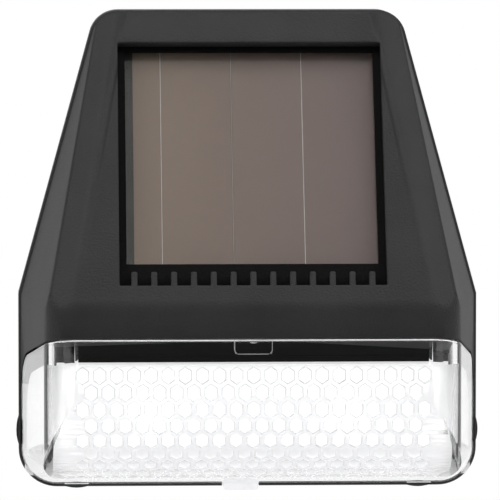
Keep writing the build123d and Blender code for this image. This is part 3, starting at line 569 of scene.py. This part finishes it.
# Painted highlight: the latch's wires and stub are pale, standing in for the glints on its edges.
latch_frost_and_glint = mottled("latch_frost_and_glint", 900.0, 2.0, (0.6, 0.6, 0.62), (0.85, 0.85, 0.87), 0.3)[0]
latch_back = -37.8 * MM
latch_drop = 6.8 * MM
latch = baked(
    "latch_edges",
    latch_tree(latch_frost_and_glint),
    [(0.0, latch_back, lens_high.z - latch_drop)],
    40,
    Width=7.6 * MM,
    Height=3.2 * MM,
    Round=0.9 * MM,
    Wire=0.1 * MM,
    Stub=1.0 * MM,
)
finish_piece(latch, None, "light", "lens_clear")

# Circuit boards: routed glass-fibre laminate under a solder mask, green and white, with its weave.
# The main board stands on the cover's posts, and the lamps' board on two posts behind the skirt.


def dress(material, *names):
    """Gives CAD nodes that stay as they are a finished material."""
    for name in names:
        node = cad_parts[name]
        node.data.materials.clear()
        node.data.materials.append(material)


board_mask, mask_tree, mask_shader, weave = mottled(
    "board_mask", 900.0, 3.0, (0.012, 0.09, 0.03), (0.02, 0.13, 0.045), 0.35, (1.0, 1.0, 0.35)
)
mask_tree.links.new(bump(mask_tree, weave, 0.03 * MM, 0.4), mask_shader.inputs["Normal"])
dress(board_mask, "circuit_board")
lamp_board_mask = mottled(
    "lamp_board_mask", 900.0, 3.0, (0.7, 0.7, 0.68), (0.78, 0.78, 0.76), 0.35, (0.35, 1.0, 1.0)
)[0]
dress(lamp_board_mask, "led_board")

# Driver chip and switch knob: black moulded epoxy and black nylon.
# The knob slides in the switch's slot and is reached through the cover.
part_black = moulded_plastic(
    "part_black",
    dark=(0.012, 0.012, 0.012),
    light=(0.02, 0.02, 0.02),
    roughness=(0.4, 0.55),
    grain=5000.0,
    grain_depth=0.02 * MM,
    edge=0.1 * MM,
)
dress(part_black, "driver_chip", "switch_knob")

# Inductor: a small axial coil dipped in green lacquer, laid along the board.
# Its two ends, the chip's legs and the lamps' legs are tinned wire, cut and soldered.
coil_lacquer, lacquer_tree, lacquer_shader, dip = mottled(
    "coil_lacquer", 700.0, 3.0, (0.05, 0.16, 0.09), (0.08, 0.22, 0.12), 0.25
)
lacquer_tree.links.new(bump(lacquer_tree, dip, 0.05 * MM, 0.5), lacquer_shader.inputs["Normal"])
dress(coil_lacquer, "inductor")


def plated_metal(name, dark, light, roughness, stretch):
    """Plated metal with fine drawn marks along one direction."""
    material, _, shader, _ = mottled(name, 1500.0, 3.0, dark, light, roughness, stretch)
    shader.inputs["Metallic"].default_value = 1.0
    return material


tinned_wire = plated_metal("tinned_wire", (0.6, 0.6, 0.61), (0.74, 0.74, 0.75), (0.25, 0.4), (1.0, 0.1, 1.0))
dress(tinned_wire, "inductor_legs", "chip_legs", "led_pins")

# Leads: stranded copper in soft PVC sleeves, red for plus and black for minus.
# They run inside the housing from panel, lamps and battery contacts to the main board.
sleeve_red = mottled("sleeve_red", 500.0, 2.0, (0.42, 0.015, 0.012), (0.5, 0.022, 0.018), (0.35, 0.5))[0]
sleeve_black = mottled("sleeve_black", 500.0, 2.0, (0.01, 0.01, 0.01), (0.018, 0.018, 0.018), (0.35, 0.5))[0]
dress(sleeve_red, "panel_lead_red", "led_lead_red", "battery_lead_red")
dress(sleeve_black, "panel_lead_black", "led_lead_black", "battery_lead_black")

# Battery: one AA cell in a shrunk plastic sleeve, plain green with a light band at its plus end.
# The steel nub is pressed from nickel-plated sheet.
sleeve_film, sleeve_tree, sleeve_shader = blank_material("battery_sleeve")
can_low, can_high = (Vector(corner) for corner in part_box("battery_can"))
band_width = 7.0 * MM
place = sleeve_tree.nodes.new("ShaderNodeTexCoord")
axes = sleeve_tree.nodes.new("ShaderNodeSeparateXYZ")
band = sleeve_tree.nodes.new("ShaderNodeMath")
band.operation = "GREATER_THAN"
band.inputs[1].default_value = can_high.x - band_width
sleeve_tree.links.new(place.outputs["Object"], axes.inputs["Vector"])
sleeve_tree.links.new(axes.outputs["X"], band.inputs[0])
sleeve_mix = sleeve_tree.nodes.new("ShaderNodeMix")
sleeve_mix.data_type = "RGBA"
print_grain = noise(sleeve_tree, 350.0, 2.0)
sleeve_tree.links.new(band.outputs["Value"], sleeve_mix.inputs["Factor"])
sleeve_green = ramp(sleeve_tree, print_grain, (0.02, 0.2, 0.06), (0.03, 0.25, 0.08))
sleeve_light = ramp(sleeve_tree, print_grain, (0.7, 0.7, 0.68), (0.78, 0.78, 0.76))
sleeve_tree.links.new(sleeve_green, sleeve_mix.inputs["A"])
sleeve_tree.links.new(sleeve_light, sleeve_mix.inputs["B"])
sleeve_tree.links.new(sleeve_mix.outputs["Result"], sleeve_shader.inputs["Base Color"])
sleeve_shader.inputs["Roughness"].default_value = 0.3
can = joined_copy("battery_can", "battery_sleeve", 50)
finish_piece(can, sleeve_film, "light", "battery_wrap", "battery_can")
nickel = plated_metal("nickel", (0.58, 0.56, 0.52), (0.7, 0.68, 0.64), (0.22, 0.36), (1.0, 1.0, 0.08))
dress(nickel, "battery_terminal", "spring_plate", "contact_plate", "switch_body")

# Contact spring: hard-drawn steel wire, nickel-plated, wound as a cone of three turns.
# Its wide end lies on the spring plate, and its narrow end presses on the battery.
spring_wire = 0.8 * MM
spring_wide = 4.2 * MM
spring_narrow = 2.6 * MM
spring_turns = 3.0
spring_low, spring_high = (Vector(corner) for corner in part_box("contact_spring"))
spring_axis = (can_low + can_high) / 2
spring_start = Vector((spring_low.x + spring_wire / 2, spring_axis.y, spring_axis.z))
onto_x = Matrix(((0, 0, 1), (1, 0, 0), (0, 1, 0))).to_euler()
spring_steel = plated_metal("spring_steel", (0.5, 0.49, 0.47), (0.64, 0.63, 0.6), (0.2, 0.34), (0.2, 1.0, 1.0))
spring_tree, spring_in, spring_out = nodes_tree("wound_wire", "Wire", "Wide", "Narrow", "Turns", "Rise")
winding = step(
    spring_tree,
    "GeometryNodeCurveSpiral",
    Rotations=spring_in.outputs["Turns"],
    Start_Radius=spring_in.outputs["Wide"],
    End_Radius=spring_in.outputs["Narrow"],
    Height=spring_in.outputs["Rise"],
    Resolution=48,
)
wire_radius = times(spring_tree, spring_in.outputs["Wire"], 0.5)
wire_round = step(spring_tree, "GeometryNodeCurvePrimitiveCircle", Resolution=14, Radius=wire_radius)
wire = step(
    spring_tree,
    "GeometryNodeCurveToMesh",
    Curve=winding.outputs["Curve"],
    Profile_Curve=wire_round.outputs["Curve"],
    Fill_Caps=True,
)
coils = step(
    spring_tree,
    "GeometryNodeInstanceOnPoints",
    Points=spring_in.outputs["Geometry"],
    Instance=wire.outputs["Mesh"],
    Rotation=tuple(onto_x),
)
close_tree(spring_tree, spring_out, coils.outputs["Instances"], spring_steel)
spring = baked(
    "contact_coil",
    spring_tree,
    [spring_start],
    40,
    Wire=spring_wire,
    Wide=spring_wide,
    Narrow=spring_narrow,
    Turns=spring_turns,
    Rise=spring_high.x - spring_low.x - spring_wire,
)
finish_piece(spring, None, "light", "spring_steel", "contact_spring")

# Back cover: a flat plate moulded with the battery bay, keyhole pockets and posts, in the housing's
# plastic with a slightly coarser grain. It drops into the skirt and is held by four screws.
cover_plastic = moulded_plastic(
    "cover_plastic",
    dark=(0.018, 0.018, 0.0185),
    light=(0.023, 0.023, 0.0235),
    roughness=(0.5, 0.6),
    grain=2000.0,
    grain_depth=0.25 * MM,
    edge=0.2 * MM,
)
cover = joined_copy("back_cover", "cover_plate", 32)
finish_piece(cover, cover_plastic, "light", "cover_grey", "back_cover")

# Battery door: a flush lid in the cover's plastic, let into a seat round the bay.
# It lifts straight off, with its two screws captive in it.
door = joined_copy("battery_door", "door_lid", 32)
finish_piece(door, cover_plastic, "door", "cover_grey", "battery_door")

# Screws: zinc-plated pan heads with a cross recess and a rolled thread, four in the cover,
# two in the door and four on the boards, each driven into a plain moulded post.


def cone(tree, below, above, depth, level):
    """A closed cone stump from this level up, with these radii below and above."""
    stump = step(
        tree,
        "GeometryNodeMeshCone",
        Vertices=32,
        Radius_Top=above,
        Radius_Bottom=below,
        Depth=depth,
    )
    lift = step(tree, "ShaderNodeCombineXYZ", Z=level)
    moved = step(
        tree, "GeometryNodeTransform", Geometry=stump.outputs["Mesh"], Translation=lift.outputs["Vector"]
    )
    return moved.outputs["Geometry"]


def screw_tree(material):
    """Pan-head screws, one on each point, with the head along +Y or -Y as the point's facing says."""
    tree, start, end = nodes_tree("pan_head_screws", "Head", "Height", "Shank", "Length", "Recess", "Pitch")
    head, height, shank = start.outputs["Head"], start.outputs["Height"], start.outputs["Shank"]
    length, recess, pitch = start.outputs["Length"], start.outputs["Recess"], start.outputs["Pitch"]
    rim, shoulder = times(tree, height, 0.5), times(tree, height, 0.3)
    crown_level, crown = times(tree, height, 0.79), times(tree, height, 0.21)
    crown_foot, crown_top = times(tree, head, 0.9), times(tree, head, 0.68)
    blade_length = times(tree, head, 1.25)
    core, tip_level = times(tree, shank, 0.8), times(tree, length, -1.0)
    ridge_radius, ridge_height = times(tree, shank, 0.9), times(tree, shank, 0.1)
    head_form = step(tree, "GeometryNodeMeshBoolean")
    head_form.operation = "UNION"
    head_form.solver = "EXACT"
    for part in (
        cone(tree, head, head, rim, 0.0),
        cone(tree, head, crown_foot, shoulder, rim),
        cone(tree, crown_foot, crown_top, crown, crown_level),
        cone(tree, core, core, length, tip_level),
    ):
        tree.links.new(part, head_form.inputs["Mesh 2"])
    blade = step(tree, "ShaderNodeCombineXYZ", X=blade_length, Y=recess, Z=height)
    cross_blade = step(tree, "ShaderNodeCombineXYZ", X=recess, Y=blade_length, Z=height)
    lift = step(tree, "ShaderNodeCombineXYZ", Z=height)
    cut = step(tree, "GeometryNodeMeshBoolean", Mesh_1=head_form.outputs["Mesh"])
    cut.operation = "DIFFERENCE"
    cut.solver = "EXACT"
    for size in (blade, cross_blade):
        bar = step(tree, "GeometryNodeMeshCube", Size=size.outputs["Vector"])
        raised = step(
            tree, "GeometryNodeTransform", Geometry=bar.outputs["Mesh"], Translation=lift.outputs["Vector"]
        )
        tree.links.new(raised.outputs["Geometry"], cut.inputs["Mesh 2"])
    turns = step(tree, "ShaderNodeMath", Value=length)
    turns.operation = "DIVIDE"
    tree.links.new(pitch, turns.inputs[1])
    helix = step(
        tree,
        "GeometryNodeCurveSpiral",
        Resolution=20,
        Rotations=turns.outputs["Value"],
        Start_Radius=ridge_radius,
        End_Radius=ridge_radius,
        Height=tip_level,
    )
    ridge = step(tree, "GeometryNodeCurvePrimitiveCircle", Resolution=4, Radius=ridge_height)
    thread = step(
        tree,
        "GeometryNodeCurveToMesh",
        Curve=helix.outputs["Curve"],
        Profile_Curve=ridge.outputs["Curve"],
        Fill_Caps=True,
    )
    whole = step(tree, "GeometryNodeJoinGeometry")
    tree.links.new(thread.outputs["Mesh"], whole.inputs["Geometry"])
    tree.links.new(cut.outputs["Mesh"], whole.inputs["Geometry"])
    facing = step(tree, "GeometryNodeInputNamedAttribute", Name="facing")
    facing.data_type = "FLOAT"
    turn = step(tree, "ShaderNodeCombineXYZ", X=times(tree, facing.outputs["Attribute"], -pi / 2))
    screws = step(
        tree,
        "GeometryNodeInstanceOnPoints",
        Points=start.outputs["Geometry"],
        Instance=whole.outputs["Geometry"],
        Rotation=turn.outputs["Vector"],
    )
    close_tree(tree, end, screws.outputs["Instances"], material)
    return tree


shank_share = 0.54
recess_share = 0.3
pitch_share = 0.42
zinc = plated_metal("zinc_plate", (0.5, 0.51, 0.53), (0.66, 0.67, 0.69), (0.28, 0.42), (1.0, 0.15, 1.0))
screws = screw_tree(zinc)


def drive(node, name, body, facing, head_height):
    """Replaces a node's screws: facing gives each one's heading, from left to right and upwards."""
    boxes = solids_of(node)
    spots = []
    for (low, high), side in zip(boxes, facing):
        seat = high.y - head_height if side > 0 else low.y + head_height
        spots.append(((low.x + high.x) / 2, seat, (low.z + high.z) / 2))
    low, high = boxes[0]
    head = (high.x - low.x) / 2
    piece = baked(
        name,
        screws,
        spots,
        35,
        facing,
        Head=head,
        Height=head_height,
        Shank=head * shank_share,
        Length=high.y - low.y - head_height,
        Recess=head * recess_share,
        Pitch=head * pitch_share,
    )
    finish_piece(piece, None, body, "screw_steel", node)


drive("cover_screws", "cover_pan_heads", "light", (1.0, 1.0, 1.0, 1.0), 1.4 * MM)
drive("door_screws", "door_pan_heads", "door", (1.0, 1.0), 1.1 * MM)
drive("board_screws", "board_pan_heads", "light", (-1.0, 1.0, 1.0, -1.0), 1.1 * MM)

# Studio: a pale floor below the hung light, a white room behind it that dims towards the camera,
# and three soft boxes, one on each side and one above the camera. Glass shows the room white,
# but for what it mirrors back towards the camera.
floor_gap = 0.06
floor_size = 1.6
low, high = cad_box
bpy.ops.mesh.primitive_plane_add(size=floor_size, location=(0, 0, low[2] - floor_gap))
floor = bpy.context.object
floor.name = "floor"
floor_paint, floor_tree, floor_shader = blank_material("floor_paint")
floor_shader.inputs["Base Color"].default_value = (0.8, 0.8, 0.8, 1.0)
floor_shader.inputs["Roughness"].default_value = 0.9
white_out = floor_tree.nodes.new("ShaderNodeEmission")
path = floor_tree.nodes.new("ShaderNodeLightPath").outputs
mix = floor_tree.nodes.new("ShaderNodeMixShader")
seen = combined(
    floor_tree, "MAXIMUM", path["Is Camera Ray"], path["Is Glossy Ray"], path["Is Transmission Ray"]
)
floor_tree.links.new(seen, mix.inputs["Fac"])
floor_tree.links.new(floor_shader.outputs["BSDF"], mix.inputs[1])
floor_tree.links.new(white_out.outputs["Emission"], mix.inputs[2])
floor_tree.links.new(mix.outputs["Shader"], floor_tree.nodes["Material Output"].inputs["Surface"])
floor.data.materials.append(floor_paint)

room_front = 0.08
room_back = 1.0
fade_start = -0.2
fade_end = 0.8
towards_camera = -0.85
world = bpy.data.worlds.new("studio")
bpy.context.scene.world = world
world.use_nodes = True
world_tree = world.node_tree
sky = world_tree.nodes["Background"]
sky.inputs["Color"].default_value = (1.0, 1.0, 1.0, 1.0)
direction = world_tree.nodes.new("ShaderNodeTexCoord")
heading = world_tree.nodes.new("ShaderNodeSeparateXYZ")
fade = world_tree.nodes.new("ShaderNodeMapRange")
fade.inputs["From Min"].default_value = fade_start
fade.inputs["From Max"].default_value = fade_end
fade.inputs["To Min"].default_value = room_front
fade.inputs["To Max"].default_value = room_back
world_path = world_tree.nodes.new("ShaderNodeLightPath").outputs
world_tree.links.new(direction.outputs["Generated"], heading.inputs["Vector"])
world_tree.links.new(heading.outputs["Y"], fade.inputs["Value"])
backdrop = world_tree.nodes.new("ShaderNodeMath")
backdrop.operation = "GREATER_THAN"
backdrop.inputs[1].default_value = towards_camera
world_tree.links.new(heading.outputs["Y"], backdrop.inputs[0])
through = combined(world_tree, "MULTIPLY", backdrop.outputs["Value"], world_path["Is Transmission Ray"])
level = combined(world_tree, "MAXIMUM", fade.outputs["Result"], world_path["Is Camera Ray"], through)
world_tree.links.new(level, sky.inputs["Strength"])

box_size = 0.6
middle = Vector((0, (low[1] + high[1]) / 2, (low[2] + high[2]) / 2))
for name, place, power in (
    ("left_box", (-0.7, -0.32, 0.72), 5.6),
    ("right_box", (0.7, -0.32, 0.72), 6.0),
    ("top_box", (0.0, -0.43, 1.06), 5.0),
):
    lamp = bpy.data.lights.new(name, "AREA")
    lamp.size = box_size
    lamp.energy = power
    softbox = bpy.data.objects.new(name, lamp)
    softbox.location = place
    softbox.rotation_euler = (middle - Vector(place)).to_track_quat("-Z", "Y").to_euler()
    bpy.context.scene.collection.objects.link(softbox)

# Camera at the photograph's angle: a long lens a little above the light,
# near enough for the light to fill the picture's width.
camera_azimuth = radians(-2.3)
camera_rise = radians(4.0)
camera_distance = 1.08
field = 0.1024
sensor = 36.0
camera = bpy.data.cameras.new("camera")
camera.sensor_width = sensor
camera.lens = sensor * camera_distance / field
camera.clip_end = 20.0
eye = bpy.data.objects.new("camera", camera)
aim = Vector((0.0, -0.021, -0.0318))
reach = cos(camera_rise)
offset = Vector((sin(camera_azimuth) * reach, -cos(camera_azimuth) * reach, sin(camera_rise)))
eye.location = aim + offset * camera_distance
eye.rotation_euler = (-offset).to_track_quat("-Z", "Y").to_euler()
bpy.context.scene.collection.objects.link(eye)
bpy.context.scene.camera = eye
bpy.context.scene.view_settings.view_transform = "Standard"
